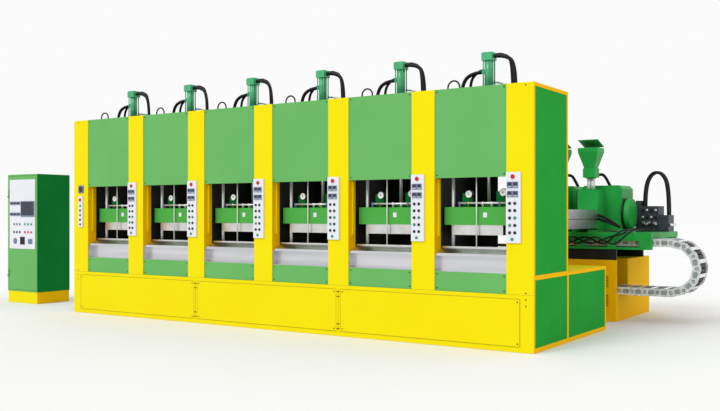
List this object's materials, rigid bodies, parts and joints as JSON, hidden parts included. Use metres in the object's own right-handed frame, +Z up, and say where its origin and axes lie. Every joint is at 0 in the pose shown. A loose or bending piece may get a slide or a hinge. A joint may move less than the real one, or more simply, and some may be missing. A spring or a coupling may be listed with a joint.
{
  "type": "injection moulding machine",
  "caption": "Row of mould clamping stations in a yellow and green frame, with a travelling twin injection carriage on a bed behind and a free-standing control cabinet.",
  "frame": {"origin": "middle of the press base's underside, on the floor", "axes": "+X along the row of stations towards the parked injection carriage, +Y from the operator to the back, +Z up"},
  "size_m": [10.6063, 4.922, 3.355],
  "materials": {
    "yellow_paint": "gloss",
    "light_green_paint": "gloss",
    "green_paint": "gloss",
    "black_paint": "satin",
    "stainless": "brushed",
    "bright_steel": "polished",
    "aluminium": "milled",
    "white_panel": "satin",
    "clear_plastic": "clear",
    "hose_rubber": "matte"
  },
  "bodies": {
    "press": {"front_posts": "yellow_paint", "tower_end_frames": "yellow_paint", "press_base": "yellow_paint", "injection_bed": "yellow_paint", "cabinet_plinth": "yellow_paint", "light_curtains": "yellow_paint", "base_front_covers": "yellow_paint", "upper_covers": "light_green_paint", "sill_covers": "light_green_paint", "clamp_cylinders": "light_green_paint", "end_panels": "green_paint", "cabinet_shell": "green_paint", "side_frames": "black_paint", "crown": "black_paint", "rear_guards": "black_paint", "travel_rails": "black_paint", "floor_ties": "black_paint", "sill_trays": "stainless", "wiring_plate": "stainless", "guide_columns": "bright_steel", "stroke_rods": "bright_steel", "chain_lower_run": "bright_steel", "mould_tables": "bright_steel", "control_strips": "white_panel", "clamp_hoses": "hose_rubber"},
    "platen_1": {"platen_1": "green_paint", "heating_plate_1": "aluminium"},
    "platen_2": {"platen_2": "green_paint", "heating_plate_2": "aluminium"},
    "platen_3": {"platen_3": "green_paint", "heating_plate_3": "aluminium"},
    "platen_4": {"platen_4": "green_paint", "heating_plate_4": "aluminium"},
    "platen_5": {"platen_5": "green_paint", "heating_plate_5": "aluminium"},
    "platen_6": {"platen_6": "green_paint", "heating_plate_6": "aluminium"},
    "carriage": {"carriage": "green_paint", "valve_manifold": "black_paint", "chain_upper_run": "bright_steel", "unit_hoses": "hose_rubber"},
    "chain_bend": {"chain_bend": "bright_steel"},
    "unit_1": {"injector_housing_1": "green_paint", "barrel_1": "bright_steel", "shroud_1": "stainless", "sight_glass_1": "clear_plastic", "hopper_1": "green_paint"},
    "screw_1": {"screw_1": "bright_steel"},
    "lid_1": {"hopper_lid_1": "green_paint"},
    "unit_2": {"injector_housing_2": "green_paint", "barrel_2": "bright_steel", "shroud_2": "stainless", "sight_glass_2": "clear_plastic", "hopper_2": "green_paint"},
    "screw_2": {"screw_2": "bright_steel"},
    "lid_2": {"hopper_lid_2": "green_paint"},
    "cabinet_door": {"cabinet_door": "green_paint", "cabinet_panel": "white_panel"}
  },
  "joints": [
    {"name": "platen_lift_1", "type": "slide", "parent": "press", "child": "platen_1", "axis": [0, 0, 1], "range_m": [-0.14, 0.3]},
    {"name": "platen_lift_2", "type": "slide", "parent": "press", "child": "platen_2", "axis": [0, 0, 1], "range_m": [-0.14, 0.3]},
    {"name": "platen_lift_3", "type": "slide", "parent": "press", "child": "platen_3", "axis": [0, 0, 1], "range_m": [-0.14, 0.3]},
    {"name": "platen_lift_4", "type": "slide", "parent": "press", "child": "platen_4", "axis": [0, 0, 1], "range_m": [-0.14, 0.3]},
    {"name": "platen_lift_5", "type": "slide", "parent": "press", "child": "platen_5", "axis": [0, 0, 1], "range_m": [-0.14, 0.3]},
    {"name": "platen_lift_6", "type": "slide", "parent": "press", "child": "platen_6", "axis": [0, 0, 1], "range_m": [-0.14, 0.3]},
    {"name": "carriage_travel", "type": "slide", "parent": "press", "child": "carriage", "axis": [1, 0, 0], "range_m": [-6.052, 0], "deforming": ["chain_lower_run", "chain_upper_run"]},
    {"name": "chain_bend_follow", "type": "slide", "parent": "carriage", "child": "chain_bend", "axis": [1, 0, 0], "range_m": [0, 3.026]},
    {"name": "unit_advance_1", "type": "slide", "parent": "carriage", "child": "unit_1", "axis": [0, -1, 0], "range_m": [0, 0.4]},
    {"name": "screw_turn_1", "type": "hinge", "parent": "unit_1", "child": "screw_1", "pos_m": [2.6035, 1.9, 1.417], "axis": [0, 1, 0], "continuous": true},
    {"name": "lid_swing_1", "type": "hinge", "parent": "unit_1", "child": "lid_1", "pos_m": [2.6035, 2.6065, 2.45], "axis": [-1, 0, 0], "range_deg": [-18, 87]},
    {"name": "unit_advance_2", "type": "slide", "parent": "carriage", "child": "unit_2", "axis": [0, -1, 0], "range_m": [0, 0.4]},
    {"name": "screw_turn_2", "type": "hinge", "parent": "unit_2", "child": "screw_2", "pos_m": [3.0895, 1.9, 1.417], "axis": [0, 1, 0], "continuous": true},
    {"name": "lid_swing_2", "type": "hinge", "parent": "unit_2", "child": "lid_2", "pos_m": [3.0895, 2.6065, 2.45], "axis": [-1, 0, 0], "range_deg": [-18, 87]},
    {"name": "cabinet_door_swing", "type": "hinge", "parent": "press", "child": "cabinet_door", "pos_m": [-5.902, -0.8025, 1.17], "axis": [0, 0, -1], "range_deg": [0, 100]}
  ],
  "couplings": [
    {"joint": "chain_bend_follow", "follows": "carriage_travel", "ratio": -0.5}
  ]
}
